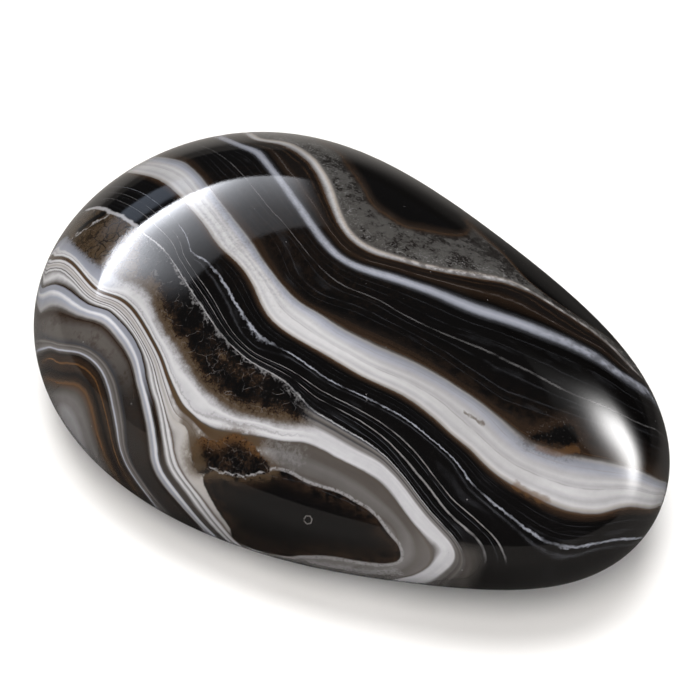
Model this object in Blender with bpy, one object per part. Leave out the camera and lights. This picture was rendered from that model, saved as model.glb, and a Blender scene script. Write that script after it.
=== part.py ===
# A palm stone of banded agate, ground and polished, lying on its belly as it rests.
# Metres, +Z up, +X towards the slimmer end, the origin under the middle of the stone.

import math

import bmesh
import bpy
from mathutils import Vector

MM = 0.001

# The egg that the stone starts from
EGG_LENGTH = 56.0 * MM
EGG_WIDTH = 38.0 * MM
EGG_HEIGHT = 24.0 * MM
WIDTH_TAPER = 0.15    # share of the width that the slim end loses and the broad end gains
WIDTH_SWELL = 0.08    # share of the width that both ends gain, which leaves them blunt
HEIGHT_TAPER = 0.10   # share of the height that the slim end loses

# Where grinding left the stone fuller (+) or flatter (-) than the egg:
# bearing from +X towards +Y, rise above the waist, both in degrees, and the height
WORN_PLACES = {
    "slim_tip": (0.0, 0.0, 2.0 * MM),
    "slim_tip_back": (25.0, 10.0, 2.0 * MM),
    "right_belly": (-35.0, -25.0, -1.0 * MM),
    "front_belly": (-80.0, -26.0, 1.0 * MM),
    "left_belly": (-120.0, -25.0, 2.5 * MM),
    "left_haunch": (-155.0, -12.0, 0.5 * MM),
    "back_shoulder": (90.0, 26.0, -1.5 * MM),
    "right_shoulder": (45.0, 25.0, 0.5 * MM),
}
WORN_SPREAD = 0.5     # how far each place reaches, where the egg's half size is 1

# The small flat that the belly rests on
REST_DEPTH = 0.5 * MM

# 20 * 4 ** (FINENESS - 1) triangles before the rest flat is cut
FINENESS = 5

POLISH_COLOUR = (0.035, 0.032, 0.030, 1.0)
POLISH_ROUGHNESS = 0.12


def bearing_to_direction(bearing, rise):
    across = math.cos(math.radians(rise))
    return Vector((
        across * math.cos(math.radians(bearing)),
        across * math.sin(math.radians(bearing)),
        math.sin(math.radians(rise)),
    ))


def egg_point(ball_point):
    # A point of the unit ball, moved onto the egg
    along, side, up = ball_point
    width = EGG_WIDTH * (1.0 - WIDTH_TAPER * along + WIDTH_SWELL * along ** 2)
    height = EGG_HEIGHT * (1.0 - HEIGHT_TAPER * along)
    return Vector((EGG_LENGTH / 2 * along, width / 2 * side, height / 2 * up))


def egg_normal(ball_point):
    # The outward direction of the plain egg, without its taper
    along, side, up = ball_point
    return Vector((along / EGG_LENGTH, side / EGG_WIDTH, up / EGG_HEIGHT)).normalized()


def worn_height(ball_point):
    # How far the worn places lift or lower the surface there
    total = 0.0
    for bearing, rise, height in WORN_PLACES.values():
        distance = (ball_point - bearing_to_direction(bearing, rise)).length
        total += height * math.exp(-distance ** 2 / (2 * WORN_SPREAD ** 2))
    return total


def shape_stone(mesh):
    for vertex in mesh.verts:
        ball_point = vertex.co.normalized()
        vertex.co = egg_point(ball_point) + egg_normal(ball_point) * worn_height(ball_point)


def cut_rest_flat(mesh):
    # Everything below the plane goes, and one flat face closes the opening
    lowest = min(vertex.co.z for vertex in mesh.verts)
    everything = list(mesh.verts) + list(mesh.edges) + list(mesh.faces)
    cut = bmesh.ops.bisect_plane(
        mesh,
        geom=everything,
        dist=0.001 * MM,
        plane_co=(0.0, 0.0, lowest + REST_DEPTH),
        plane_no=(0.0, 0.0, -1.0),
        clear_outer=True,
    )
    rim = [item for item in cut["geom_cut"] if isinstance(item, bmesh.types.BMEdge)]
    bmesh.ops.contextual_create(mesh, geom=rim)


def centre_on_origin(mesh):
    # The middle of the stone's box stands over the origin, and the rest flat lies at Z = 0
    xs = [vertex.co.x for vertex in mesh.verts]
    ys = [vertex.co.y for vertex in mesh.verts]
    lowest = min(vertex.co.z for vertex in mesh.verts)
    middle = Vector(((min(xs) + max(xs)) / 2, (min(ys) + max(ys)) / 2, lowest))
    bmesh.ops.translate(mesh, verts=mesh.verts, vec=-middle)


def make_polish():
    polish = bpy.data.materials.new("polished_agate")
    polish.use_nodes = True
    shader = polish.node_tree.nodes["Principled BSDF"]
    shader.inputs["Base Color"].default_value = POLISH_COLOUR
    shader.inputs["Metallic"].default_value = 0.0
    shader.inputs["Roughness"].default_value = POLISH_ROUGHNESS
    polish.diffuse_color = POLISH_COLOUR
    return polish


def make_stone():
    mesh = bmesh.new()
    bmesh.ops.create_icosphere(mesh, subdivisions=FINENESS, radius=1.0)
    shape_stone(mesh)
    cut_rest_flat(mesh)
    centre_on_origin(mesh)
    bmesh.ops.recalc_face_normals(mesh, faces=mesh.faces)
    stone_mesh = bpy.data.meshes.new("agate_stone")
    mesh.to_mesh(stone_mesh)
    mesh.free()
    stone_mesh.shade_smooth()
    stone_mesh.materials.append(make_polish())
    stone = bpy.data.objects.new("agate_stone", stone_mesh)
    bpy.context.scene.collection.objects.link(stone)
    return stone


for old in list(bpy.data.objects):
    bpy.data.objects.remove(old)
make_stone()
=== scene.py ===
# A polished palm stone of sulemani agate on a white table, mirroring two softboxes and a dim panel, under two lamps.
import math

import bpy
import numpy as np
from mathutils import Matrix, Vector
from mathutils.bvhtree import BVHTree


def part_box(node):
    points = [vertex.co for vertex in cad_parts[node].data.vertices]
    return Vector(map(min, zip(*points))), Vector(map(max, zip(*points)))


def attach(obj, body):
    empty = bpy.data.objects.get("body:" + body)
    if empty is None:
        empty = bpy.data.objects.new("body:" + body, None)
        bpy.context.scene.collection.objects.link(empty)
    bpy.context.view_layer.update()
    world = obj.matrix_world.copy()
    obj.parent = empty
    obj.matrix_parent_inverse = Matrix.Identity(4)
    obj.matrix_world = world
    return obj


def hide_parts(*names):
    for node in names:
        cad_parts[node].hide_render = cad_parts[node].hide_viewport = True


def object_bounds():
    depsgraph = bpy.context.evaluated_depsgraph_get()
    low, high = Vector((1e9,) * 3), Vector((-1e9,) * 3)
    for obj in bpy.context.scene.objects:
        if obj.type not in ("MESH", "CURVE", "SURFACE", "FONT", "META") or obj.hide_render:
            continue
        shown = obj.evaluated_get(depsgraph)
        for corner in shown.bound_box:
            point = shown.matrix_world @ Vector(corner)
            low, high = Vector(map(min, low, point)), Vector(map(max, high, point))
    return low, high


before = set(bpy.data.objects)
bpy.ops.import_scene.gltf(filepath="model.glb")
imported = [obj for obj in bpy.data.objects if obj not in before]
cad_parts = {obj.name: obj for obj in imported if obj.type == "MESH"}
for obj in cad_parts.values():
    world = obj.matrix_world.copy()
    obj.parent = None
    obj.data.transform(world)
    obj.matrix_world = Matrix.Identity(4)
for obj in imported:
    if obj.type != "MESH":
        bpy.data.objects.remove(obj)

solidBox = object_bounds()    # the plain solid's box, before anything is added
millimetre = 0.001
print("frame loaded")


# Camera: looks down on the stone from the side, its slim end towards the right front
viewpoint = {
    "lens": 160.0,
    "sensor": 36.0,
    "distance": 264.2,          # mm from the point it aims at
    "bearing": 45.8,            # degrees, turned from looking along +Y towards -X
    "height": 45.0,             # degrees above the table
    "aim": (-1.34, 1.74, 12.32),
    "nearest": 10.0,            # nothing nearer than this is drawn
    "picture": 700,             # pixels each way, and pixel places below are in this frame
}


def viewAxes():
    turn = math.radians(viewpoint["bearing"])
    down = math.radians(viewpoint["height"])
    right = Vector((math.cos(turn), math.sin(turn), 0.0))
    away = Vector((-math.sin(turn), math.cos(turn), 0.0))
    forward = away * math.cos(down) - Vector((0.0, 0.0, math.sin(down)))
    return right, right.cross(forward), forward, away


viewRight, viewUp, viewForward, viewAway = viewAxes()
aimPoint = Vector(viewpoint["aim"]) * millimetre
cameraPlace = aimPoint - viewForward * viewpoint["distance"] * millimetre


def addCamera():
    bpy.ops.object.camera_add(location=cameraPlace, rotation=viewForward.to_track_quat("-Z", "Y").to_euler())
    camera = bpy.context.object
    camera.name = "productCamera"
    camera.data.lens = viewpoint["lens"]
    camera.data.sensor_width = viewpoint["sensor"]
    camera.data.clip_start = viewpoint["nearest"] * millimetre
    bpy.context.scene.camera = camera


addCamera()
print("camera placed")


# The stone's form, in millimetres and degrees: an egg, and the places that grinding left fuller or flatter
stoneForm = {
    "name": "polishedAgate",
    "length": 56.0,
    "width": 38.0,
    "height": 24.0,
    "widthTaper": 0.15,
    "widthSwell": 0.08,
    "heightTaper": 0.10,
    "wornPlaces": {             # bearing from +X towards +Y, rise above the waist, height
        "slimTip": (0.0, 0.0, 2.0),
        "slimTipBack": (25.0, 10.0, 2.0),
        "rightBelly": (-35.0, -25.0, -1.0),
        "frontBelly": (-80.0, -26.0, 1.0),
        "leftBelly": (-120.0, -25.0, 2.5),
        "leftHaunch": (-155.0, -12.0, 0.5),
        "backShoulder": (90.0, 26.0, -1.5),
        "rightShoulder": (45.0, 25.0, 0.5),
    },
    "wornSpread": 0.5,
    "restDepth": 0.5,           # how much the rest flat takes off the belly
    "cuts": (7, 15),            # each face of the starting cube is cut this often, twice
}


def bearingToDirection(bearing, rise):
    turn = math.radians(bearing)
    lift = math.radians(rise)
    return np.array([math.cos(lift) * math.cos(turn), math.cos(lift) * math.sin(turn), math.sin(lift)])


def eggFromBall(ball):
    along, side, up = ball.T
    width = stoneForm["width"] * (1.0 - stoneForm["widthTaper"] * along + stoneForm["widthSwell"] * along ** 2)
    height = stoneForm["height"] * (1.0 - stoneForm["heightTaper"] * along)
    egg = np.stack([stoneForm["length"] * along, width * side, height * up], axis=1) / 2
    outward = ball / np.array([stoneForm["length"], stoneForm["width"], stoneForm["height"]])
    outward /= np.linalg.norm(outward, axis=1, keepdims=True)
    worn = np.zeros(len(ball))
    for bearing, rise, height in stoneForm["wornPlaces"].values():
        away = np.linalg.norm(ball - bearingToDirection(bearing, rise), axis=1)
        worn += height * np.exp(-away ** 2 / (2 * stoneForm["wornSpread"] ** 2))
    return egg + outward * worn[:, None]


def readPoints(mesh):
    flat = np.empty(len(mesh.vertices) * 3)
    mesh.vertices.foreach_get("co", flat)
    return flat.reshape(-1, 3)


def addStone():
    # A cube is cut fine and rounded to a ball; the egg's formula then gives a finish with no ripple in it
    bpy.ops.object.select_all(action="DESELECT")
    bpy.ops.mesh.primitive_cube_add(size=2.0, location=(0.0, 0.0, 0.0))
    stone = bpy.context.object
    stone.name = stoneForm["name"]
    bpy.ops.object.mode_set(mode="EDIT")
    bpy.ops.mesh.select_all(action="SELECT")
    for cuts in stoneForm["cuts"]:
        bpy.ops.mesh.subdivide(number_cuts=cuts)
    bpy.ops.object.mode_set(mode="OBJECT")
    ball = readPoints(stone.data)
    ball /= np.linalg.norm(ball, axis=1, keepdims=True)
    points = eggFromBall(ball) * millimetre
    low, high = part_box("agate_stone")
    formLow, formHigh = points.min(axis=0), points.max(axis=0)
    formLow[2] += stoneForm["restDepth"] * millimetre
    points = (points - formLow) / (formHigh - formLow) * (np.array(high) - np.array(low)) + np.array(low)
    points[:, 2] = np.maximum(points[:, 2], low.z)
    stone.data.vertices.foreach_set("co", points.ravel())
    stone.data.update()
    bpy.ops.object.shade_smooth()
    return stone


stone = addStone()
stonePoints = readPoints(stone.data)
bpy.context.view_layer.update()
stoneTree = BVHTree.FromObject(stone, bpy.context.evaluated_depsgraph_get())
print("stone shaped:", len(stone.data.polygons), "faces")


def pixelToStone(pixel, slide=True, longestSlide=16):
    # The point of the stone that shows at a pixel; one just off its edge slides in towards the middle
    half = viewpoint["picture"] / 2
    focal = viewpoint["lens"] / viewpoint["sensor"] * viewpoint["picture"]
    place = Vector(pixel)
    middle = Vector((half, half))
    for step in range(longestSlide):
        ray = viewForward * focal + viewRight * (place.x - half) - viewUp * (place.y - half)
        hit = stoneTree.ray_cast(cameraPlace, ray.normalized())[0]
        if hit is not None:
            return np.array(hit) / millimetre
        if not slide:
            return None
        place += (middle - place).normalized()
    raise ValueError(f"pixel {pixel} is not on the stone")


def bearingToStone(bearing, rise):
    # A point of the stone by its direction from the stone's middle, for the sides that no pixel shows
    middle = Vector((0.0, 0.0, (solidBox[0].z + solidBox[1].z) / 2))
    hit = stoneTree.ray_cast(middle, Vector(bearingToDirection(bearing, rise)))[0]
    return np.array(hit) / millimetre


# How the fields are laid: softness rounds them off in millimetres, and slack lets them miss their points a little
fieldFit = {"softness": 0.8, "layerSlack": 0.10, "pocketSlack": 0.02, "parts": 40}


def smoothField(places, values, slack):
    # A smooth field through values at scattered places (multiquadrics and a slope), at every point of the stone
    places = np.array(places)
    count = len(places)

    def basis(points):
        gap = np.linalg.norm(points[:, None] - places[None], axis=2)
        return -np.sqrt(gap ** 2 + fieldFit["softness"] ** 2), np.hstack([points, np.ones((len(points), 1))])

    kernel, slope = basis(places)
    system = np.zeros((count + 4, count + 4))
    system[:count, :count] = kernel + slack * np.eye(count)
    system[:count, count:] = slope
    system[count:, :count] = slope.T
    weights = np.linalg.solve(system, np.concatenate([values, np.zeros(4)]))
    field = []
    for part in np.array_split(stonePoints / millimetre, fieldFit["parts"]):
        kernel, slope = basis(part)
        field.append(kernel @ weights[:count] + slope @ weights[count:])
    return np.concatenate(field)


def keepField(name, field):
    attribute = stone.data.attributes.new(name, "FLOAT", "POINT")
    attribute.data.foreach_set("value", field.astype(np.float32))


# Layers of the agate. Each line is an edge or the middle of a layer, given by its depth in the stack and its pixels.
# Depth grows from the misty quartz at the upper right to the eye at the left, by about 1 for each millimetre.
layerLines = {
    "quartzRim": (6.0, [
        (452, 203), (465, 219), (480, 233), (495, 246), (507, 257), (516, 268), (528, 281), (550, 298),
        (580, 318), (605, 335)]),
    "creamUpper": (10.0, [
        (262, 139), (285, 141), (300, 147), (312, 156), (322, 168), (330, 182), (336, 198), (341, 215), (349, 230),
        (360, 241), (375, 249), (400, 257), (425, 264), (450, 269), (480, 273), (505, 278), (530, 289), (555, 305),
        (580, 321), (600, 335), (620, 353), (636, 371)]),
    "creamLower": (10.8, [
        (283, 146), (297, 153), (308, 162), (316, 173), (323, 187), (329, 204), (336, 222), (346, 237), (358, 247),
        (374, 255), (400, 262), (425, 269), (450, 274), (480, 279), (505, 283), (530, 293), (555, 309), (580, 325),
        (600, 339)]),
    "blueUpper": (12.5, [
        (262, 152), (268, 160), (284, 180), (299, 200), (312, 220), (328, 240), (342, 256), (360, 265), (380, 270),
        (400, 276), (420, 283), (440, 290), (460, 298), (480, 305), (500, 312), (520, 319), (540, 326), (560, 334),
        (580, 344), (600, 355), (618, 370), (645, 386)]),
    "blueLower": (13.5, [
        (254, 154), (261, 161), (276, 180), (290, 200), (303, 220), (317, 240), (332, 256), (345, 265), (360, 272),
        (380, 278), (400, 284), (420, 291), (440, 299), (460, 308), (480, 316), (500, 322), (520, 329), (540, 337),
        (560, 344), (580, 353), (600, 364), (618, 377), (640, 392)]),
    "greyHairline": (16.0, [
        (283, 222), (300, 243), (315, 262), (330, 276), (345, 287), (360, 292), (380, 300), (400, 313), (420, 323),
        (440, 332), (460, 340), (480, 348), (500, 357), (520, 367), (540, 377), (560, 388), (580, 397), (602, 405),
        (620, 414), (640, 424), (655, 429)]),
    "fringeOuter": (18.9, [
        (200, 166), (213, 180), (262, 240), (273, 260), (284, 280), (308, 302), (340, 316), (360, 325), (380, 334),
        (400, 343), (420, 354), (440, 366), (460, 380), (480, 393), (500, 408)]),
    "whiteUpper": (20.0, [
        (185, 162), (196, 170), (205, 181), (251, 240), (263, 260), (279, 280), (297, 300), (318, 312), (340, 327),
        (360, 337), (380, 347), (400, 355), (420, 364), (440, 375), (460, 388), (480, 401), (500, 417), (518, 434),
        (535, 443), (560, 452), (585, 457), (610, 462), (640, 470), (655, 478), (667, 483)]),
    "whiteLower": (24.0, [
        (135, 174), (150, 176), (161, 181), (171, 188), (181, 198), (207, 228), (213, 240), (224, 252), (240, 265),
        (250, 280), (257, 295), (263, 310), (272, 322), (285, 332), (300, 341), (320, 352), (340, 364), (360, 376),
        (380, 385), (400, 394), (420, 407), (440, 424), (455, 438), (470, 449), (480, 460), (490, 470), (505, 482),
        (525, 492), (545, 503), (565, 511), (585, 515), (605, 514), (620, 508), (635, 506), (650, 511), (660, 506)]),
    "raggedHairline": (27.0, [
        (205, 258), (215, 270), (225, 283), (235, 300), (246, 318), (258, 333), (272, 343), (290, 352), (305, 362),
        (320, 374), (340, 386), (360, 394), (380, 404), (400, 414), (415, 425), (430, 437), (445, 450), (458, 463),
        (468, 478), (478, 490), (490, 500), (503, 510), (515, 520), (527, 530), (537, 537), (548, 541), (560, 546),
        (575, 548), (590, 545), (605, 541), (620, 539), (640, 538)]),
    "lowRightBlack": (27.6, [(535, 570), (555, 580), (585, 576), (612, 562), (638, 545)]),
    "middleHairline": (28.3, [
        (183, 255), (192, 270), (203, 285), (213, 299), (222, 317), (232, 333), (243, 345), (255, 355), (270, 361),
        (285, 368), (300, 376), (315, 387), (330, 396), (345, 403), (360, 411), (380, 422), (400, 437), (413, 450),
        (425, 465), (437, 481), (452, 500), (470, 515), (485, 528), (497, 540), (504, 553), (507, 568)]),
    "lowHairline": (29.5, [
        (300, 384), (315, 397), (330, 404), (345, 412), (360, 420), (380, 433), (400, 452), (413, 466), (427, 482),
        (440, 500), (452, 515), (466, 527), (478, 538), (486, 550), (487, 563), (480, 576)]),
    "mossUpper": (31.0, [
        (80, 213), (92, 208), (104, 207), (111, 213), (125, 217), (138, 228), (152, 240), (165, 250), (175, 263),
        (183, 276), (190, 288), (200, 303), (210, 318), (222, 335), (235, 348), (248, 359), (262, 368), (280, 377),
        (292, 387), (302, 399), (312, 411), (325, 418), (345, 430), (360, 439), (375, 448), (388, 460), (400, 474),
        (412, 490), (422, 504), (435, 520), (448, 534), (458, 546), (466, 558), (464, 570), (452, 581)]),
    "mossMiddle": (32.0, [
        (90, 232), (100, 240), (124, 246), (148, 262), (168, 284), (178, 306), (188, 326), (200, 346), (215, 363),
        (232, 379), (250, 392), (270, 399), (290, 405)]),
    "mossLower": (33.0, [
        (68, 238), (78, 250), (90, 258), (102, 268), (118, 274), (138, 278), (152, 286), (156, 298), (160, 315),
        (170, 332), (184, 350), (196, 372), (206, 385), (220, 396), (240, 409), (262, 413), (285, 418), (300, 422),
        (318, 428), (335, 437), (350, 446), (362, 453), (378, 460), (390, 470), (402, 482), (413, 497), (425, 513),
        (440, 528), (452, 540), (457, 552), (454, 564), (440, 575)]),
    "upperWhiteMiddle": (34.0, [
        (60, 246), (72, 252), (84, 266), (96, 278), (112, 285), (130, 289), (142, 297), (149, 311), (158, 330),
        (172, 355), (186, 380), (200, 398), (216, 412), (238, 421), (262, 424)]),
    "lowerWhite": (35.0, [
        (48, 260), (60, 256), (70, 261), (80, 272), (90, 285), (100, 293), (118, 297), (130, 304), (138, 315),
        (146, 328), (155, 345), (163, 360), (168, 375), (173, 386), (179, 400), (187, 411), (198, 420), (212, 428),
        (230, 432), (250, 435), (270, 438), (285, 443), (300, 441), (320, 448), (340, 460), (360, 469), (378, 480),
        (392, 495), (403, 512), (417, 530), (430, 542), (436, 555), (430, 567), (412, 576), (395, 579)]),
    "haloMiddle": (36.6, [
        (235, 447), (262, 449), (285, 453), (300, 458), (318, 465), (335, 472), (350, 481), (365, 490), (380, 502),
        (392, 512), (403, 524), (411, 536), (413, 548), (410, 560), (398, 569), (380, 572)]),
    "creamStack": (39.2, [(186, 425), (189, 450), (190, 470), (197, 482)]),
    "stackUpper": (40.0, [
        (45, 268), (60, 264), (70, 270), (80, 282), (88, 292), (100, 300), (112, 302), (122, 310), (132, 322),
        (142, 338), (150, 352), (155, 365), (158, 380), (163, 400), (169, 425), (174, 450), (177, 465), (187, 480),
        (200, 495), (212, 512), (222, 525), (236, 541)]),
    "stackMiddle": (40.5, [
        (45, 277), (52, 271), (60, 273), (70, 279), (80, 290), (89, 299), (100, 304), (111, 306), (121, 315),
        (131, 326), (141, 342), (147, 356), (151, 368), (156, 392)]),
    "darkSeamUpper": (41.0, [
        (44, 286), (52, 280), (60, 282), (70, 289), (80, 298), (90, 306), (100, 307), (110, 310), (120, 319),
        (130, 330), (140, 346), (145, 360), (148, 380), (155, 400), (160, 420), (164, 445), (166, 465), (176, 480),
        (188, 495), (200, 512), (212, 526), (224, 538)]),
    "darkSeamLower": (41.6, [
        (43, 291), (52, 286), (60, 288), (70, 296), (80, 304), (90, 310), (100, 311), (110, 315), (118, 324),
        (126, 335), (134, 348), (140, 362), (143, 380), (149, 400), (153, 420), (157, 445), (158, 463), (168, 480),
        (180, 495), (193, 512), (205, 526)]),
    "blueStackLower": (42.5, [
        (40, 313), (50, 305), (60, 307), (70, 312), (80, 316), (95, 319), (105, 323), (113, 332), (120, 342),
        (128, 353), (133, 365), (136, 380), (141, 400), (147, 425), (150, 450), (151, 463), (158, 478), (170, 493),
        (185, 510), (198, 524)]),
    "twinUpper": (44.5, [
        (50, 342), (60, 345), (75, 346), (88, 349), (98, 356), (107, 366), (114, 380), (119, 400), (123, 425),
        (125, 450), (131, 465), (143, 483), (156, 500)]),
    "twinLower": (45.5, [
        (50, 348), (60, 351), (75, 352), (86, 356), (95, 363), (102, 373), (106, 385), (110, 400), (115, 425),
        (118, 445), (123, 462), (134, 480), (146, 495)]),
    "rustOuter": (46.2, [
        (58, 362), (75, 363), (87, 368), (95, 376), (100, 390), (105, 408), (110, 430), (113, 445), (119, 462)]),
    "rustInner": (47.2, [
        (55, 384), (66, 386), (78, 386), (84, 392), (89, 405), (93, 420), (97, 438), (103, 455), (110, 468)]),
    "eyeMiddle": (48.6, [(66, 410), (76, 428)]),
}


def roundedLine(pixels, step=6.0):
    # The same line through more pixels, with its corners rounded off
    line = np.array(pixels, float)
    if len(line) < 4:
        return line
    run = np.concatenate([[0.0], np.cumsum(np.linalg.norm(np.diff(line, axis=0), axis=1))])
    marks = np.linspace(0.0, run[-1], int(run[-1] / step) + 1)
    line = np.stack([np.interp(marks, run, line[:, 0]), np.interp(marks, run, line[:, 1])], axis=1)
    for turn in range(2):
        line[1:-1] = line[:-2] * 0.25 + line[1:-1] * 0.5 + line[2:] * 0.25
    return line


def layTheLayers():
    places = []
    depths = []
    for depth, pixels in layerLines.values():
        line = roundedLine(pixels)
        places += [pixelToStone(pixel) for pixel in line]
        depths += [depth] * len(line)
    keepField("layerDepth", smoothField(places, depths, fieldFit["layerSlack"]))
    return len(places)


print("layers laid through", layTheLayers(), "points")


# Pockets: closed patches that break the layers. The field is the distance inside the edge, in millimetres.
pockets = {
    "blackCore": [
        (338, 152), (348, 166), (358, 180), (365, 191), (370, 201), (380, 211), (392, 219), (404, 226), (418, 229),
        (434, 232), (450, 235), (463, 235), (469, 230), (468, 220), (464, 206), (455, 190), (430, 170), (400, 154),
        (370, 142), (345, 138)],
    "lens": [
        (203, 478), (213, 470), (225, 474), (245, 477), (262, 474), (276, 470), (290, 473), (302, 480), (320, 487),
        (340, 493), (356, 502), (370, 511), (380, 521), (388, 532), (397, 543), (401, 552), (398, 561), (385, 564),
        (370, 563), (355, 561), (340, 558), (320, 556), (300, 556), (288, 557), (262, 552), (236, 541), (230, 529),
        (221, 516), (213, 503), (206, 490)],
    "rustPocket": [
        (192, 452), (195, 441), (203, 436), (214, 440), (226, 436), (238, 434), (249, 440), (258, 450), (266, 461),
        (270, 470), (262, 474), (245, 477), (225, 474), (213, 470), (205, 475), (197, 471), (192, 462)],
    "crystalSpot": [
        (528, 437), (540, 429), (552, 424), (565, 421), (576, 426), (582, 437), (580, 447), (566, 449), (550, 446),
        (538, 442)],
}

# Where the distance to a pocket's edge is known, for its field to be laid through
pocketFit = {
    "shifts": (0.0, 6.0, -10.0),                # pixels inwards from the edge
    "coreShifts": (0.0, 6.0, 14.0, -10.0),      # the black core is wider, so one more
    "pixelsToMillimetre": 11.8,
    "undersideRise": -40.0,                     # all round, the underside is well outside every pocket
    "undersideBearings": range(0, 360, 45),
    "undersideDistance": -8.0,
}


def layPocket(name, outline):
    ring = np.array(outline, float)
    ahead = np.roll(ring, -1, axis=0) - np.roll(ring, 1, axis=0)
    sideways = np.stack([-ahead[:, 1], ahead[:, 0]], axis=1)
    sideways /= np.linalg.norm(sideways, axis=1, keepdims=True)
    area = np.sum(ring[:, 0] * np.roll(ring[:, 1], -1) - np.roll(ring[:, 0], -1) * ring[:, 1])
    inward = sideways * math.copysign(1.0, area)
    places = []
    depths = []
    for shift in pocketFit["coreShifts" if name == "blackCore" else "shifts"]:
        for pixel in ring + inward * shift:
            place = pixelToStone(pixel, slide=False)
            if place is not None:
                places.append(place)
                depths.append(shift / pocketFit["pixelsToMillimetre"])
    for bearing in pocketFit["undersideBearings"]:
        places.append(bearingToStone(bearing, pocketFit["undersideRise"]))
        depths.append(pocketFit["undersideDistance"])
    keepField(name, smoothField(places, depths, fieldFit["pocketSlack"]))


for name, outline in pockets.items():
    layPocket(name, outline)
print("pockets laid:", ", ".join(pockets))


studioExposure = 1.36    # how much brighter the studio shows a colour than it is


def seen(red, green, blue):
    # The stone's own colour, from how it looks in the studio
    def linear(part):
        part /= 255.0
        return (part / 12.92 if part <= 0.04045 else ((part + 0.055) / 1.055) ** 2.4) / studioExposure
    return (linear(red), linear(green), linear(blue), 1.0)


class Wire:
    # One output of a node, so that shader maths can be written as sums
    def __init__(self, graph, socket):
        self.graph = graph
        self.socket = socket

    def __add__(self, other):
        return self.graph.math("ADD", self, other)

    def __radd__(self, other):
        return self.graph.math("ADD", other, self)

    def __sub__(self, other):
        return self.graph.math("SUBTRACT", self, other)

    def __rsub__(self, other):
        return self.graph.math("SUBTRACT", other, self)

    def __mul__(self, other):
        return self.graph.math("MULTIPLY", self, other)

    def __rmul__(self, other):
        return self.graph.math("MULTIPLY", other, self)

    def __abs__(self):
        return self.graph.math("ABSOLUTE", self)


class Graph:
    def __init__(self, name):
        self.material = bpy.data.materials.new(name)
        self.material.use_nodes = True
        self.tree = self.material.node_tree
        self.shader = self.tree.nodes["Principled BSDF"]

    def add(self, kind, settings, inputs, output=0):
        node = self.tree.nodes.new(kind)
        for key, value in settings.items():
            if key == "stops":
                ramp = node.color_ramp
                while len(ramp.elements) < len(value):
                    ramp.elements.new(1.0)
                for element, (place, colour) in zip(ramp.elements, value):
                    element.position = place
                    element.color = colour
            else:
                setattr(node, key, value)
        for key, value in inputs.items():
            self.feed(node.inputs[key], value)
        return Wire(self, node.outputs[output])

    def feed(self, socket, value):
        if isinstance(value, Wire):
            self.tree.links.new(value.socket, socket)
        else:
            socket.default_value = value

    def math(self, operation, *values):
        return self.add("ShaderNodeMath", {"operation": operation}, dict(enumerate(values)))

    def mix(self, factor, below, above):
        # Sockets 6 and 7 are the colours of a Mix node, and output 2 is their blend
        return self.add("ShaderNodeMix", {"data_type": "RGBA"}, {0: factor, 6: below, 7: above}, 2)

    def smooth(self, value, low, high):
        # 0 below low, 1 above high, and a soft step between; low above high turns it over
        settings = {"interpolation_type": "SMOOTHSTEP"}
        return self.add("ShaderNodeMapRange", settings, {0: value, 1: low, 2: high})

    def window(self, value, start, full, fade, end):
        # 1 between full and fade, with a soft step to 0 at start and at end
        return self.smooth(value, start, full) * self.smooth(value, end, fade)

    def maximum(self, one, other):
        return self.math("MAXIMUM", one, other)

    def vector(self, operation, *values, **named):
        return self.add("ShaderNodeVectorMath", {"operation": operation}, {**dict(enumerate(values)), **named})

    def dot(self, one, other):
        return self.add("ShaderNodeVectorMath", {"operation": "DOT_PRODUCT"}, {0: one, 1: other}, "Value")

    def length(self, one):
        return self.add("ShaderNodeVectorMath", {"operation": "LENGTH"}, {0: one}, "Value")

    def distanceToLine(self, point, start, end):
        # How far a point is from the stretch between two places
        run = end - start
        lead = self.vector("SUBTRACT", point, start)
        share = self.add("ShaderNodeClamp", {}, {0: self.dot(lead, run / run.length_squared)})
        return self.length(self.vector("SUBTRACT", lead, self.vector("SCALE", run, Scale=share)))

    def noise(self, vector, scale, detail=3.0, roughness=0.5):
        return self.add("ShaderNodeTexNoise", {"noise_dimensions": "3D"}, {
            "Vector": vector, "Scale": scale, "Detail": detail, "Roughness": roughness})

    def noiseColour(self, vector, scale):
        # Three noises at once, around zero
        noise = self.add("ShaderNodeTexNoise", {}, {"Vector": vector, "Scale": scale, "Detail": 2.0}, "Color")
        return self.vector("SUBTRACT", noise, (0.5, 0.5, 0.5))

    def shine(self, tint, glow, power):
        # Turns the surface into a glowing one, brighter where glow is
        self.shader.inputs["Base Color"].default_value = (0.0, 0.0, 0.0, 1.0)
        self.shader.inputs["Specular IOR Level"].default_value = 0.0
        self.shader.inputs["Emission Strength"].default_value = power
        self.feed(self.shader.inputs["Emission Color"], self.vector("SCALE", tint[:3], Scale=glow))

    def cracks(self, vector, scale, width):
        edge = self.add("ShaderNodeTexVoronoi", {"feature": "DISTANCE_TO_EDGE"}, {
            "Vector": vector, "Scale": scale}, "Distance")
        return self.smooth(edge, width, 0.0)


# Colours of the agate, as they look in the studio
agateColours = {
    "black": seen(12, 11, 11),
    "soot": seen(26, 22, 20),
    "umber": seen(46, 35, 27),
    "brown": seen(74, 56, 41),
    "olive": seen(80, 66, 50),
    "rust": seen(98, 70, 43),
    "quartz": seen(88, 87, 85),
    "slate": seen(58, 59, 63),
    "smoke": seen(82, 78, 75),
    "ash": seen(112, 109, 108),
    "mist": seen(152, 151, 153),
    "cream": seen(192, 184, 176),
    "pearl": seen(178, 174, 170),
    "milk": seen(190, 190, 194),
    "white": seen(210, 210, 213),
    "blueGrey": seen(146, 150, 162),
    "blueWhite": seen(176, 180, 192),
}

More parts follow.
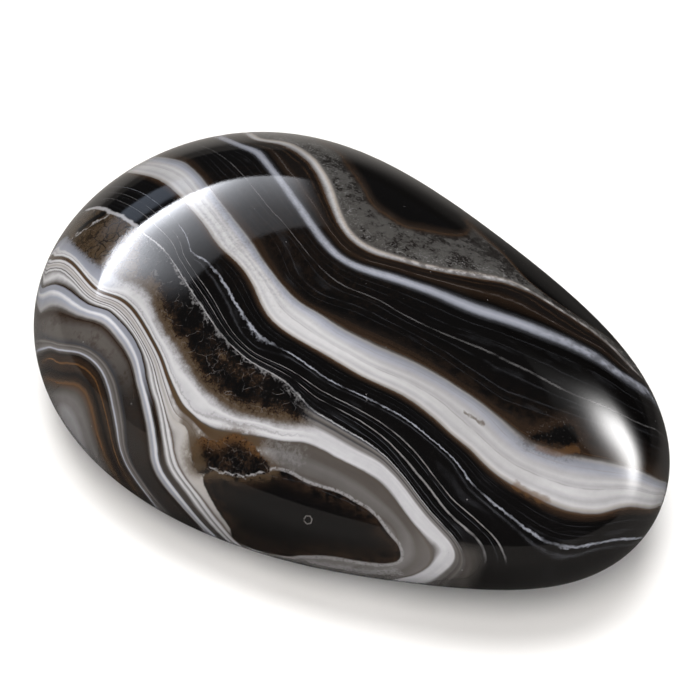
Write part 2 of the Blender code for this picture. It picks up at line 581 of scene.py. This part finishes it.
# What colour the stack has at each depth
stackColours = [
    # The edge of the black core, the misty quartz and the cream layer under it
    (5.5, "black"), (5.85, "umber"), (6.05, "brown"), (6.35, "quartz"), (9.7, "quartz"), (9.9, "ash"),
    (10.1, "cream"), (10.35, "white"), (10.6, "mist"), (10.78, "brown"), (11.0, "soot"), (11.5, "soot"),
    (11.7, "umber"), (12.2, "black"),
    # The blue layer, and the black below it
    (12.45, "slate"), (12.65, "blueGrey"), (12.95, "blueWhite"), (13.3, "blueGrey"), (13.55, "slate"),
    (13.85, "black"), (18.4, "black"), (19.0, "soot"), (19.4, "umber"), (19.8, "umber"), (20.0, "smoke"),
    # The wide white band
    (20.15, "mist"), (20.4, "blueGrey"), (20.9, "blueWhite"), (21.3, "milk"), (21.6, "white"), (21.9, "milk"),
    (22.2, "white"), (22.6, "white"), (23.0, "milk"), (23.4, "white"), (23.7, "pearl"), (23.88, "mist"),
    (24.02, "brown"), (24.3, "umber"), (24.9, "black"), (30.75, "black"),
    # The grey edge of the moss, and the lower white band
    (31.15, "slate"), (31.45, "ash"), (31.8, "smoke"), (32.0, "slate"), (32.25, "ash"), (32.7, "ash"),
    (33.0, "mist"), (33.25, "milk"), (34.8, "milk"), (34.92, "mist"), (35.05, "smoke"), (35.2, "olive"),
    (35.6, "brown"), (36.0, "brown"), (36.15, "olive"),
    # The stack of thin white layers
    (36.4, "mist"), (36.8, "white"), (37.3, "milk"), (37.7, "mist"), (37.9, "brown"), (38.1, "milk"),
    (38.6, "pearl"), (39.0, "mist"), (39.3, "pearl"), (39.7, "milk"), (39.95, "ash"), (40.03, "brown"),
    (40.12, "mist"), (40.25, "white"), (40.42, "milk"), (40.5, "ash"), (40.62, "mist"), (40.8, "white"),
    (40.95, "mist"), (41.1, "smoke"), (41.2, "umber"), (41.45, "soot"), (41.6, "smoke"), (41.7, "blueWhite"),
    (41.85, "white"), (42.1, "blueGrey"), (42.4, "mist"), (42.55, "smoke"), (42.75, "umber"), (43.2, "smoke"),
    (43.8, "smoke"), (44.3, "slate"), (44.5, "smoke"), (44.62, "ash"), (44.8, "smoke"), (45.15, "ash"),
    (45.3, "blueWhite"), (45.45, "smoke"), (45.75, "soot"),
    # The eye, with its two rust lines
    (46.0, "umber"), (46.18, "umber"), (46.25, "rust"), (46.32, "umber"), (46.5, "umber"), (46.7, "black"),
    (46.95, "umber"), (47.06, "brown"), (47.13, "rust"), (47.2, "brown"), (47.45, "smoke"), (47.8, "ash"),
    (48.2, "ash"), (48.6, "mist"), (49.6, "mist"), (52.0, "ash"),
]

# Hairlines: depth, half width, colour, strength, and how ragged they are
hairlines = [
    (11.2, 0.07, "brown", 0.5, 0.1), (11.7, 0.06, "ash", 0.35, 0.1), (14.4, 0.07, "slate", 0.4, 0.0),
    (15.2, 0.06, "slate", 0.35, 0.0), (16.0, 0.09, "mist", 0.32, 0.0), (16.5, 0.08, "slate", 0.4, 0.0),
    (17.3, 0.08, "slate", 0.5, 0.0), (17.9, 0.06, "slate", 0.4, 0.0), (19.1, 0.07, "umber", 0.8, 0.0),
    (19.5, 0.06, "black", 0.7, 0.0), (19.75, 0.07, "brown", 0.5, 0.0), (20.75, 0.07, "mist", 0.5, 0.0),
    (22.1, 0.08, "mist", 0.5, 0.0), (25.3, 0.05, "slate", 0.5, 0.0), (26.2, 0.06, "slate", 0.35, 0.0),
    (27.0, 0.12, "blueWhite", 0.8, 0.35), (27.35, 0.10, "slate", 0.7, 0.1), (28.3, 0.09, "mist", 0.7, 0.05),
    (28.75, 0.08, "slate", 0.8, 0.0), (29.5, 0.10, "mist", 0.75, 0.05), (29.9, 0.07, "slate", 0.8, 0.0),
    (30.4, 0.07, "slate", 0.8, 0.0), (31.0, 0.14, "milk", 0.85, 0.35),
]

# Local marks: the line of pixels they follow, their reach in millimetres, colour and strength, how many millimetres
# they fray, and the depths in the stack that they keep to
localMarks = {
    "rustUnderSpot": {"along": [(538, 450), (556, 454), (576, 449)], "reach": 0.34, "colour": "rust", "strength": 0.5,
                      "fray": 0.9, "within": (17.0, 20.4)},
    "rustAtBandFoot": {"along": [(516, 486), (530, 494), (546, 500)], "reach": 0.34, "colour": "rust", "strength": 0.5,
                       "fray": 0.9, "within": (22.9, 25.5)},
    "scratchInBand": {"along": [(464, 412), (472, 417), (484, 424)], "reach": 0.13, "colour": "olive", "strength": 0.7,
                      "fray": 0.6, "within": (20.0, 24.0)},
    "brownByStack": {"along": [(180, 394), (187, 412), (189, 430), (190, 445), (196, 462)], "reach": 0.8,
                     "colour": "olive", "strength": 0.8, "fray": 0.9, "within": (34.95, 39.0)},
    "fleckedQuartz": {"along": [(268, 447), (282, 452), (296, 458)], "reach": 0.75, "colour": "mist", "strength": 0.26,
                      "fray": 2.6, "within": (34.0, 60.0)},
    "blackWedge": {"along": [(103, 214), (92, 220), (80, 229)], "reach": 0.42, "colour": "black", "strength": 1.0,
                   "fray": 0.3, "within": (31.0, 33.2)},
    "mossVein": {"along": [(86, 210), (94, 208), (103, 208), (110, 212), (122, 216), (136, 226)], "reach": 0.17,
                 "colour": "milk", "strength": 0.9, "fray": 0.35, "within": (29.0, 33.5)},
    "dashedVein": {"along": [(112, 214), (98, 221), (84, 230), (72, 238)], "reach": 0.13, "colour": "milk",
                   "strength": 0.85, "fray": 1.05, "within": (29.0, 34.0)},
    "raggedMoss": {"along": [(172, 262), (183, 279), (200, 305), (222, 337), (248, 361), (280, 379), (300, 398)],
                   "reach": 0.24, "colour": "mist", "strength": 0.5, "fray": 1.8, "within": (30.8, 31.7)},
    "underPocket": {"along": [(210, 467), (224, 472), (245, 476), (262, 473), (276, 468)], "reach": 0.10,
                    "colour": "mist", "strength": 0.8, "fray": 0.9, "within": (34.0, 60.0)},
    "underLens": {"along": [(310, 562), (340, 567), (370, 572), (396, 572)], "reach": 0.55, "colour": "mist",
                  "strength": 0.6, "fray": 1.6, "within": (34.0, 60.0)},
    "bubbleInLens": {"along": [(304, 519), (306, 516), (310, 516), (312, 519), (311, 523), (307, 524), (304, 521)],
                     "reach": 0.05, "colour": "ash", "strength": 0.8, "fray": 0.0, "within": (30.0, 60.0)},
    "crossCrack": {"along": [(262, 474), (300, 482), (345, 500), (385, 522)], "reach": 0.04, "colour": "slate",
                   "strength": 0.4, "fray": 0.2, "within": (30.0, 60.0)},
}


def layeredColour(graph, depth, stops, span=28):
    # A ramp takes few stops, so the stack is split over several that hand over where they meet
    colour = None
    for first in range(0, len(stops) - 1, span):
        part = stops[first:first + span + 1]
        low, high = part[0][0], part[-1][0]
        places = [((place - low) / (high - low), agateColours[name]) for place, name in part]
        piece = graph.add("ShaderNodeValToRGB", {"stops": places}, {0: (depth - low) * (1.0 / (high - low))})
        colour = piece if colour is None else graph.mix(graph.math("GREATER_THAN", depth, low), colour, piece)
    return colour


# Where the colour of a layer changes along its length. Depths: where the change starts, is full, fades and ends.
# Across and upward are millimetres from the picture's middle, and feathers is a noise. The change is absent at the
# first number of a pair and full at the second. Toned colours also vary with the growth lines.
tints = {
    "underHairlines": {
        "warmth": {"depths": (16.5, 19.0, 19.6, 20.0), "across": (0.0, 10.0), "feathers": (0.35, 0.65),
                   "colour": "umber", "strength": 0.5},
    },
    "overStack": {
        "farLeft": {"depths": (32.8, 33.0, 33.8, 34.1), "across": (-18.5, -21.0),
                    "colour": "blueGrey", "strength": 0.9},
        "topSeam": {"depths": (41.22, 41.34, 41.6, 41.75), "upward": (-5.0, -1.0),
                    "colour": "blueGrey", "strength": 0.85},
        "ringZone": {"depths": (29.3, 30.3, 32.8, 33.1), "across": (5.0, 8.0), "upward": (-14.8, -16.2),
                     "colour": "smoke", "strength": 0.6, "toned": 2.0},
        "creamZone": {"depths": (36.2, 36.7, 39.7, 40.1), "across": (-7.0, -9.5), "upward": (-3.0, -7.0),
                      "colour": "pearl", "strength": 0.75, "toned": 1.0},
        "lowSeam": {"depths": (41.05, 41.2, 41.5, 41.65), "upward": (-6.0, -12.0),
                    "colour": "smoke", "strength": 0.55},
        "lowDark": {"depths": (42.5, 42.8, 44.0, 44.5), "upward": (-0.5, -4.5),
                    "colour": "soot", "strength": 0.8, "toned": 1.0},
    },
    "towardsRight": {
        "thinCream": {"depths": (9.7, 9.9, 10.6, 10.85), "across": (1.5, 6.0), "feathers": (0.62, 0.42),
                      "colour": "smoke", "strength": 0.75},
        "fadingBlue": {"depths": (12.3, 12.5, 13.5, 13.7), "across": (13.0, 21.0), "feathers": (0.65, 0.40),
                       "colour": "slate", "strength": 0.7},
    },
}


# Noises over the stone: how fine each is, its detail and its roughness. Slow ones sway the layers, fine ones fray
# and fleck them.
agateNoises = {
    "sway": (0.35, 2.0),
    "tremble": (1.6, 3.0),
    "patches": (0.45, 3.0),
    "feathers": (1.3, 5.0, 0.65),
    "grit": (4.5, 4.0, 0.7),
    "fading": (0.6, 2.0),
}
# Growth lines: noise that changes fast with depth and slowly along the layers. How fast with depth comes first.
growthNoises = {
    "growth": (2.6, 0.10, 3.0, 0.6),
    "fineGrowth": (9.0, 0.22, 2.0, 0.5),
}


class AgateGraph(Graph):
    # The stone's material: where a point of it lies, the noises there, and its colour so far
    def __init__(self, name):
        super().__init__(name)
        place = self.add("ShaderNodeTexCoord", {}, {}, "Object")
        place = self.place = self.vector("SCALE", place, Scale=1.0 / millimetre)
        self.across = self.along(viewRight)    # millimetres to the right of the picture's middle
        self.upward = self.along(viewUp)       # and above it

        sway = self.noise(place, *agateNoises["sway"]) - 0.5
        tremble = self.noise(place, *agateNoises["tremble"]) - 0.5
        self.patches = self.noise(place, *agateNoises["patches"])
        self.feathers = self.noise(place, *agateNoises["feathers"])
        self.grit = self.noise(place, *agateNoises["grit"])
        self.ragged = (self.grit - 0.5) + (self.feathers - 0.5) * 0.8
        self.depth = self.attribute("layerDepth") + sway * 0.16 + tremble * 0.08
        self.growth = self.layeredNoise(*growthNoises["growth"])
        self.fineGrowth = self.layeredNoise(*growthNoises["fineGrowth"])
        self.tone = 1.0 + (self.growth - 0.5) * 0.55 + (self.fineGrowth - 0.5) * 0.30 + (self.feathers - 0.5) * 0.22

        # Fine cracks and flecks, for the moss, the quartz and the rust pocket
        self.frayed = self.shifted(0.9, 1.0)
        cracks = self.cracks(self.frayed, 0.60, 0.018) * self.smooth(self.feathers, 0.44, 0.62)
        fineCracks = self.cracks(self.frayed, 1.5, 0.028) * self.smooth(self.patches, 0.48, 0.66)
        fineCracks = fineCracks * self.smooth(self.grit, 0.4, 0.6)
        self.threads = self.maximum(cracks, fineCracks * 0.8)
        self.flecks = self.smooth(self.grit, 0.56, 0.70)
        self.colour = None

    def attribute(self, name):
        return self.add("ShaderNodeAttribute", {"attribute_name": name}, {}, "Fac")

    def along(self, axis):
        return self.dot(self.place, axis) - axis.dot(aimPoint / millimetre)

    def layeredNoise(self, quickness, scale, detail, roughness):
        return self.add("ShaderNodeTexNoise", {"noise_dimensions": "4D"}, {
            "Vector": self.place, "W": self.depth * quickness, "Scale": scale, "Detail": detail,
            "Roughness": roughness})

    def shifted(self, scale, amount):
        # The place, moved about by noise, so that what is drawn there frays
        return self.vector("ADD", self.place, self.vector("SCALE", self.noiseColour(self.place, scale), Scale=amount))

    def paint(self, mask, colour):
        # Lays a colour, by its name or as a wire, over the colour so far
        self.colour = self.mix(mask, self.colour, self.named(colour))

    def named(self, colour):
        return agateColours[colour] if isinstance(colour, str) else colour

    def blend(self, factor, below, above):
        return self.mix(factor, self.named(below), self.named(above))

    def toned(self, colour, power=1.0):
        return self.vector("SCALE", agateColours[colour][:3], Scale=self.math("POWER", self.tone, power))

    def tint(self, group):
        for spot in tints[group].values():
            mask = self.window(self.depth, *spot["depths"])
            for wire, key in ((self.across, "across"), (self.upward, "upward"), (self.feathers, "feathers")):
                if key in spot:
                    mask = mask * self.smooth(wire, *spot[key])
            colour = self.toned(spot["colour"], spot["toned"]) if "toned" in spot else spot["colour"]
            self.paint(mask * spot["strength"], colour)


def paintStack(agate):
    agate.colour = agate.vector("SCALE", layeredColour(agate, agate.depth, stackColours), Scale=agate.tone)
    # Faint grey growth lines in the black
    upperBlack = agate.window(agate.depth, 13.8, 14.2, 18.8, 19.2)
    lowerBlack = agate.window(agate.depth, 24.6, 25.2, 30.6, 30.9)
    veins = agate.smooth(agate.fineGrowth, 0.56, 0.70) * agate.smooth(agate.patches, 0.35, 0.65)
    veins = veins * agate.maximum(upperBlack, lowerBlack)
    agate.paint(veins * 0.3, "slate")
    agate.tint("underHairlines")


def paintHairlines(agate):
    fading = agate.smooth(agate.noise(agate.place, *agateNoises["fading"]), 0.25, 0.6)
    lowFade = agate.smooth(agate.upward, -17.3, -15.0)
    highFade = 1.0 - 0.65 * agate.smooth(agate.upward, 9.0, 12.0)
    for centre, half, name, strength, frayed in hairlines:
        offset = abs(agate.depth + agate.ragged * frayed - centre) if frayed else abs(agate.depth - centre)
        line = agate.smooth(offset, half, 0.0) * fading * strength
        if centre > 25.0:    # below the wide white band
            line = line * highFade
        if centre > 28.0:
            line = line * lowFade
        agate.paint(line, name)


def paintHalo(agate):
    # The grey halo around the lens, right of the stack of white layers
    halo = agate.smooth(agate.depth, 34.95, 35.3) * agate.smooth(agate.across, -8.5, -5.5)
    halo = halo * agate.smooth(agate.depth, 40.2, 39.2)
    colour = agate.blend(agate.smooth(agate.upward, -13.0, -17.5), "smoke", "ash")
    colour = agate.vector("SCALE", colour, Scale=agate.tone)
    colour = agate.blend(agate.smooth(agate.depth, 35.0, 36.2) * 0.5, colour, "smoke")
    agate.paint(halo * 0.92, colour)


def paintWhiteLayers(agate):
    # The lower white band is olive and ash along its upper edge at the left, with two bright lines in it
    depth = agate.depth
    softened = depth + (agate.feathers - 0.5) * 0.7 + (agate.grit - 0.5) * 0.5
    leftHalf = agate.smooth(agate.across, -2.0, -6.0) * agate.smooth(depth, 32.8, 33.0)
    bandSeam = agate.smooth(abs(softened - 34.3), 0.16, 0.0) * leftHalf
    upperLine = agate.smooth(abs(depth - 33.95), 0.14, 0.0)
    lowerLine = agate.smooth(abs(depth - 34.58), 0.2, 0.0)
    agate.paint(agate.smooth(softened, 34.0, 33.45) * leftHalf * 0.8, "ash")
    agate.paint(agate.smooth(softened, 33.65, 33.2) * leftHalf * 0.9, "olive")
    agate.paint(agate.maximum(upperLine, lowerLine) * leftHalf * 0.8, "white")
    agate.paint(bandSeam * 0.4, "ash")
    agate.tint("overStack")
    smear = agate.window(depth, 42.5, 42.8, 44.0, 44.4)
    agate.paint(smear * agate.smooth(agate.feathers + agate.patches * 0.5, 0.72, 0.95) * 0.55, "umber")


def paintMoss(agate):
    # Black and brown mottling with pale threads, where the layers at depth 31 to 33 open out
    feathers, patches, grit = agate.feathers, agate.patches, agate.grit
    moss = agate.smooth(agate.depth + agate.ragged * 0.30, 31.0, 31.15)
    moss = moss * agate.smooth(agate.depth + agate.ragged * 0.6, 33.35, 32.8)
    moss = moss * agate.smooth(agate.across + agate.ragged * 1.5, -2.6, -4.2)
    farPatch = agate.smooth(agate.across, -16.5, -18.0)
    browning = feathers * 0.8 + (patches - 0.5) * 0.4 + (grit - 0.5) * 0.7
    browning = browning + agate.smooth(agate.depth, 31.7, 33.0) * 0.45 - 0.03
    browning = agate.maximum(browning, farPatch * (0.86 + (grit - 0.5) * 0.8))
    colour = agate.blend(agate.smooth(browning, 0.42, 0.74), "black", "umber")
    colour = agate.blend(agate.smooth(browning, 0.60, 0.92), colour, "olive")
    colour = agate.blend(agate.cracks(agate.frayed, 0.95, 0.07) * farPatch * 0.9, colour, "black")
    colour = agate.blend(agate.threads * 0.28, colour, "mist")
    upperEdge = agate.smooth(agate.depth + (feathers - 0.5) * 1.2, 31.75, 31.05)
    colour = agate.blend(agate.flecks * upperEdge * 0.75, colour, "mist")
    agate.paint(moss, colour)
    return moss


def paintQuartz(agate):
    # Misty grey with dark clouds, and white flecks along its lower edge
    quartz = agate.window(agate.depth, 6.1, 6.4, 9.6, 9.95)
    clouds = (agate.patches - 0.5) * 1.2 + (agate.feathers - 0.5) * 1.6 + (agate.grit - 0.5) * 0.5
    clouds = clouds + agate.smooth(agate.depth, 6.4, 9.4) * 0.25 - 0.08
    lowerEdge = agate.smooth(agate.depth, 8.2, 9.8)
    colour = agate.blend(agate.smooth(clouds, -0.22, 0.28), "soot", "quartz")
    colour = agate.blend(agate.smooth(agate.grit, 0.48, 0.75) * 0.6, colour, "ash")
    colour = agate.blend(agate.flecks * lowerEdge * 0.75, colour, "milk")
    colour = agate.blend(agate.threads * lowerEdge * 0.8, colour, "milk")
    agate.paint(quartz * 0.9, colour)
    return quartz


def paintRightSide(agate):
    # To the right the cream layer thins, and the wide white band dulls
    agate.tint("towardsRight")
    dulling = agate.window(agate.depth, 19.9, 20.1, 24.0, 24.2) * agate.smooth(agate.across, -3.0, 6.0)
    agate.paint(dulling * (0.18 + 0.18 * agate.smooth(agate.growth, 0.40, 0.62)), "smoke")


def paintCore(agate):
    core = agate.attribute("blackCore") + agate.ragged * 0.35
    agate.paint(agate.smooth(core, -0.45, -0.05) * 0.7, "umber")
    agate.paint(agate.window(core, -0.16, 0.0, 0.04, 0.16) * 0.7, "brown")
    agate.paint(agate.smooth(core, 0.02, 0.14) * 0.6, "umber")
    agate.paint(agate.smooth(core, 0.05, 0.75), "black")


def paintLens(agate):
    lens = agate.attribute("lens") + agate.ragged * 0.22
    upperSide = agate.smooth(agate.upward, -18.5, -17.0)
    rim = agate.window(lens, -0.30, -0.12, -0.02, 0.12) * agate.smooth(agate.grit, 0.36, 0.52)
    brownEdge = agate.smooth(lens, 1.3, 0.1) * agate.smooth(agate.feathers, 0.35, 0.60) * upperSide
    agate.paint(agate.smooth(lens, -0.08, 0.08), agate.blend(brownEdge, "black", "umber"))
    agate.paint(rim * agate.smooth(agate.across, -7.0, -5.5) * upperSide * 0.8, "mist")


def paintRustPocket(agate):
    rust = agate.attribute("rustPocket") + agate.ragged * 0.7
    around = agate.smooth(rust, -1.2, -0.1) * agate.smooth(agate.feathers, 0.30, 0.5)
    agate.paint(around * agate.smooth(agate.upward, -11.0, -9.8) * 0.8, "olive")
    colour = agate.blend(agate.smooth(agate.feathers + (agate.grit - 0.5) * 0.5, 0.45, 0.65), "black", "umber")
    upperRust = agate.smooth(rust, 1.0, 0.3) * agate.smooth(agate.upward + agate.ragged * 1.2, -8.9, -7.9)
    colour = agate.blend(upperRust * agate.smooth(agate.grit, 0.30, 0.60) * 0.85, colour, "rust")
    colour = agate.blend(agate.threads * 0.5, colour, "ash")
    agate.paint(agate.smooth(rust, -0.15, 0.15), colour)


def paintCrystalSpot(agate):
    spot = agate.attribute("crystalSpot") + agate.ragged * 1.3
    agate.paint(agate.smooth(spot, -1.2, 0.1) * 0.75, "umber")
    agate.paint(agate.smooth(spot, 0.1, 0.5), "black")
    agate.paint(agate.smooth(spot, -0.3, 0.1) * agate.smooth(agate.grit, 0.58, 0.68) * 0.35, "ash")


def paintMark(agate, mark):
    place = agate.shifted(1.6, mark["fray"]) if mark["fray"] else agate.place
    bends = [Vector(pixelToStone(pixel)) for pixel in mark["along"]]
    nearest = None
    for start, end in zip(bends, bends[1:]):
        gap = agate.distanceToLine(place, start, end)
        nearest = gap if nearest is None else agate.math("MINIMUM", nearest, gap)
    low, high = mark["within"]
    spread = agate.smooth(nearest, mark["reach"] * 1.5, mark["reach"] * 0.4)
    spread = spread * agate.window(agate.depth, low - 0.2, low + 0.1, high - 0.1, high + 0.2)
    if mark["fray"] > 1.0:    # a strongly frayed mark also breaks into crumbs
        spread = spread * agate.smooth(agate.grit, 0.34, 0.56)
    agate.paint(spread * mark["strength"], mark["colour"])


def paintShadeAndLight(agate):
    # Painted shade: the colour is darkened where the layers turn under, at the left and in front; painted light makes
    # it paler at the far left
    leftShade = 0.26 * agate.smooth(agate.upward, -10.0, -17.0) * agate.smooth(agate.across, -5.0, -10.0)
    frontShade = 0.5 * agate.smooth(agate.upward, -17.6, -19.6)
    farLeftLight = 0.30 * agate.smooth(agate.across, -17.5, -21.0) * agate.smooth(agate.upward, -3.0, 1.0)
    farLeftLight = farLeftLight * agate.smooth(agate.depth, 33.0, 34.0)
    agate.colour = agate.vector("SCALE", agate.colour, Scale=1.0 - agate.maximum(leftShade, frontShade) + farLeftLight)


def paintSpecks(agate):
    specks = agate.add("ShaderNodeTexVoronoi", {}, {"Vector": agate.place, "Scale": 0.9}, "Distance")
    agate.paint(agate.smooth(specks, 0.075, 0.03) * agate.smooth(agate.patches, 0.52, 0.62) * 0.6, "mist")


# The polish: its roughness, and how much duller and rougher it is on moss and quartz
agatePolish = {"roughness": 0.035, "duller": 0.05, "index": 1.54, "bumpStrength": 0.05, "bumpDistance": 0.00006}


def polishStone(agate, moss, quartz):
    agate.feed(agate.shader.inputs["Base Color"], agate.colour)
    roughness = agatePolish["roughness"] + agate.maximum(moss, quartz * 0.6) * agatePolish["duller"]
    agate.feed(agate.shader.inputs["Roughness"], roughness)
    agate.shader.inputs["IOR"].default_value = agatePolish["index"]
    height = (agate.grit - 0.5) * (0.35 + agate.maximum(moss, quartz) * 1.2) + (agate.feathers - 0.5) * 0.5
    bump = agate.add("ShaderNodeBump", {}, {
        "Height": height, "Strength": agatePolish["bumpStrength"], "Distance": agatePolish["bumpDistance"]})
    agate.feed(agate.shader.inputs["Normal"], bump)


def makePolishedAgate():
    agate = AgateGraph("polishedAgate")
    paintStack(agate)
    paintHairlines(agate)
    paintHalo(agate)
    paintWhiteLayers(agate)
    moss = paintMoss(agate)
    quartz = paintQuartz(agate)
    paintRightSide(agate)
    paintCore(agate)
    paintLens(agate)
    paintRustPocket(agate)
    paintCrystalSpot(agate)
    for mark in localMarks.values():
        paintMark(agate, mark)
    paintShadeAndLight(agate)
    paintSpecks(agate)
    polishStone(agate, moss, quartz)
    return agate.material


stone.data.materials.append(makePolishedAgate())
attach(stone, "root")
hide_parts("agate_stone")
print("stone finished")


# Table, softboxes and fill. Bearings are turned from straight behind the stone towards the right.
studio = {
    "tableSize": 6.0,
    "tableColour": (0.90, 0.90, 0.90, 1.0),
    "tableGlow": 0.045,
    "surroundings": (0.020, 0.020, 0.021, 1.0),
    "softboxDistance": 2.5,
}
# How the table looks in the stone's polish, painted as the glow of a card, in metres from the stone's middle: a
# painted shadow under the stone, brighter just behind it, and darker again behind it to the right and far behind
mirroredTable = {
    "tint": (0.25, 0.235, 0.22, 1.0),
    "paintedShadowUnderStone": (0.010, 0.060),
    "behind": (0.0, 0.05),
    "behindGain": 0.6,
    "rightBehind": (-0.01, 0.03),
    "rightLoss": 0.85,
    "farBehind": (0.05, 0.25),
    "farLoss": 0.75,
}


def addTablePlane(name):
    bpy.ops.object.select_all(action="DESELECT")
    bpy.ops.mesh.primitive_plane_add(size=studio["tableSize"], location=(0.0, 0.0, 0.0))
    table = bpy.context.object
    table.name = name
    graph = Graph(name)
    table.data.materials.append(graph.material)
    return table, graph


def addWhiteTable():
    # Seen, and lights the stone, but isn't mirrored in it
    table, graph = addTablePlane("whiteTable")
    graph.shader.inputs["Base Color"].default_value = studio["tableColour"]
    graph.shader.inputs["Roughness"].default_value = 1.0
    graph.shader.inputs["Specular IOR Level"].default_value = 0.0
    graph.shader.inputs["Emission Color"].default_value = studio["tableColour"]
    graph.shader.inputs["Emission Strength"].default_value = studio["tableGlow"]
    table.visible_glossy = False


def addMirroredTable():
    # Only mirrored in the polish: a glowing card that paints the table's reflection, with a painted shadow under the
    # stone
    table, graph = addTablePlane("mirroredTable")
    place = graph.add("ShaderNodeTexCoord", {}, {}, "Object")
    behind = graph.dot(place, viewAway)
    rightward = graph.dot(place, viewRight)
    glow = graph.smooth(graph.length(place), *mirroredTable["paintedShadowUnderStone"])
    glow = glow * (1.0 + mirroredTable["behindGain"] * graph.smooth(behind, *mirroredTable["behind"]))
    rightBehind = graph.smooth(rightward, *mirroredTable["rightBehind"])
    rightBehind = rightBehind * graph.smooth(behind, *mirroredTable["rightBehind"])
    glow = glow * (1.0 - mirroredTable["rightLoss"] * rightBehind)
    glow = glow * (1.0 - mirroredTable["farLoss"] * graph.smooth(behind, *mirroredTable["farBehind"]))
    graph.shine(mirroredTable["tint"], glow, 1.0)
    table.visible_camera = False
    table.visible_diffuse = False
    table.visible_shadow = False


def leftGlow(graph, across, upward):
    # Brightest at its bowed lower edge, and faint in its far part
    bow = (across - 0.5) * 5.9
    upward = upward - 0.048 - 0.07 * graph.math("EXPONENT", bow * bow * -1.0)
    upward = upward - 0.03 * graph.smooth(across, 0.45, 0.2)
    near = graph.smooth(across, 0.78, 0.44)
    bright = (1.1 + 0.9 * graph.smooth(across, 0.45, 0.15)) * graph.math("EXPONENT", upward * -3.9)
    bright = bright + 0.8 * graph.math("EXPONENT", upward * -12.0)
    far = 0.17 * graph.math("EXPONENT", upward * -1.8)
    glow = (near * bright + (1.0 - near) * far) * graph.smooth(upward, -0.008, 0.008)
    return glow * graph.smooth(across, 0.92, 0.82) * graph.smooth(across, 0.02, 0.30)


def rightGlow(graph, across, upward):
    # Brightest along its middle, with a faint skirt on the upper side
    length = abs(across - 0.505) * 4.7
    offCentre = upward - 0.49 + (across - 0.505) * 0.18
    width = graph.maximum(offCentre * 6.6, offCentre * -8.2)
    core = graph.math("EXPONENT", (length * length * length + width * width) * -1.0)
    skirt = graph.math("EXPONENT", (length * length * 0.5 + width * width * 0.17) * -1.0)
    return core + 0.105 * skirt * graph.smooth(upward, 0.35, 0.55)


def dimGlow(graph, across, upward):
    # Even, with soft edges
    glow = graph.smooth(across, 0.2, 0.5) * graph.window(upward, 0.0, 0.2, 0.8, 1.0)
    return glow * graph.smooth(across, 1.0, 0.85)


# Each softbox is a card with four corners, given by bearing and rise, from the lower left and round by the right
softboxes = {
    "leftSoftbox": {"corners": [(-66.0, 20.0), (8.0, 14.5), (8.0, 33.0), (-66.0, 46.0)], "bearing": -32.0,
                    "power": 16.0, "tint": (0.95, 0.98, 1.06, 1.0), "glow": leftGlow},
    "rightSoftbox": {"corners": [(16.0, 24.8), (98.0, -26.7), (122.3, 10.4), (55.8, 63.9)], "bearing": 68.0,
                     "power": 21.0, "tint": (1.0, 0.99, 0.985, 1.0), "glow": rightGlow},
    "dimPanel": {"corners": [(-50.0, 8.0), (-14.0, 12.5), (-14.0, 21.0), (-50.0, 23.0)], "bearing": -32.0,
                 "power": 0.7, "tint": (0.82, 0.95, 1.18, 1.0), "glow": dimGlow},
}


def addSoftbox(name, box):
    # An upright card that faces the stone and is only mirrored in it
    facing = math.radians(box["bearing"])
    middle = viewAway * math.cos(facing) + viewRight * math.sin(facing)
    sideways = viewRight * math.cos(facing) - viewAway * math.sin(facing)
    corners = []
    for bearing, rise in box["corners"]:
        turn = math.radians(bearing - box["bearing"])
        lift = math.tan(math.radians(rise)) / math.cos(turn)
        towards = middle + sideways * math.tan(turn) + Vector((0.0, 0.0, lift))
        corners.append(aimPoint + towards * studio["softboxDistance"])
    bpy.ops.object.select_all(action="DESELECT")
    bpy.ops.mesh.primitive_plane_add(size=1.0, location=(0.0, 0.0, 0.0))
    card = bpy.context.object
    card.name = name
    for vertex, corner in zip(card.data.vertices, (corners[0], corners[1], corners[3], corners[2])):
        vertex.co = corner
    graph = Graph(name)
    spread = graph.add("ShaderNodeUVMap", {"uv_map": card.data.uv_layers[0].name}, {})
    across = graph.add("ShaderNodeSeparateXYZ", {}, {0: spread}, 0)
    upward = graph.add("ShaderNodeSeparateXYZ", {}, {0: spread}, 1)
    graph.shine(box["tint"], box["glow"](graph, across, upward), box["power"])
    card.data.materials.append(graph.material)
    card.visible_diffuse = False


fills = {
    "overheadFill": {"bearing": 185.0, "rise": 79.0, "distance": 1.2, "size": 0.45, "power": 10.5,
                     "tint": (1.0, 0.99, 0.98)},
    "frontFill": {"bearing": 184.0, "rise": 54.0, "distance": 1.0, "size": 0.4, "power": 8.2,
                  "tint": (1.0, 0.965, 0.93)},
}


def addFill(name, fill):
    # A lamp that lights the table and the stone's colours but leaves no reflection
    turn = math.radians(fill["bearing"])
    lift = math.radians(fill["rise"])
    level = (viewAway * math.cos(turn) + viewRight * math.sin(turn)) * math.cos(lift)
    place = (level + Vector((0.0, 0.0, math.sin(lift)))) * fill["distance"]
    bpy.ops.object.light_add(type="AREA", location=place)
    lamp = bpy.context.object
    lamp.name = name
    lamp.rotation_euler = (-place).to_track_quat("-Z", "Y").to_euler()
    lamp.data.shape = "DISK"
    lamp.data.size = fill["size"]
    lamp.data.energy = fill["power"]
    lamp.data.color = fill["tint"]
    lamp.visible_glossy = False
    lamp.visible_camera = False


def darkenWorld():
    world = bpy.data.worlds.new("darkStudio")
    bpy.context.scene.world = world
    world.use_nodes = True
    world.node_tree.nodes["Background"].inputs["Color"].default_value = studio["surroundings"]
    bpy.context.scene.view_settings.view_transform = "Standard"


addWhiteTable()
addMirroredTable()
for name, box in softboxes.items():
    addSoftbox(name, box)
for name, fill in fills.items():
    addFill(name, fill)
darkenWorld()
print("studio lit")
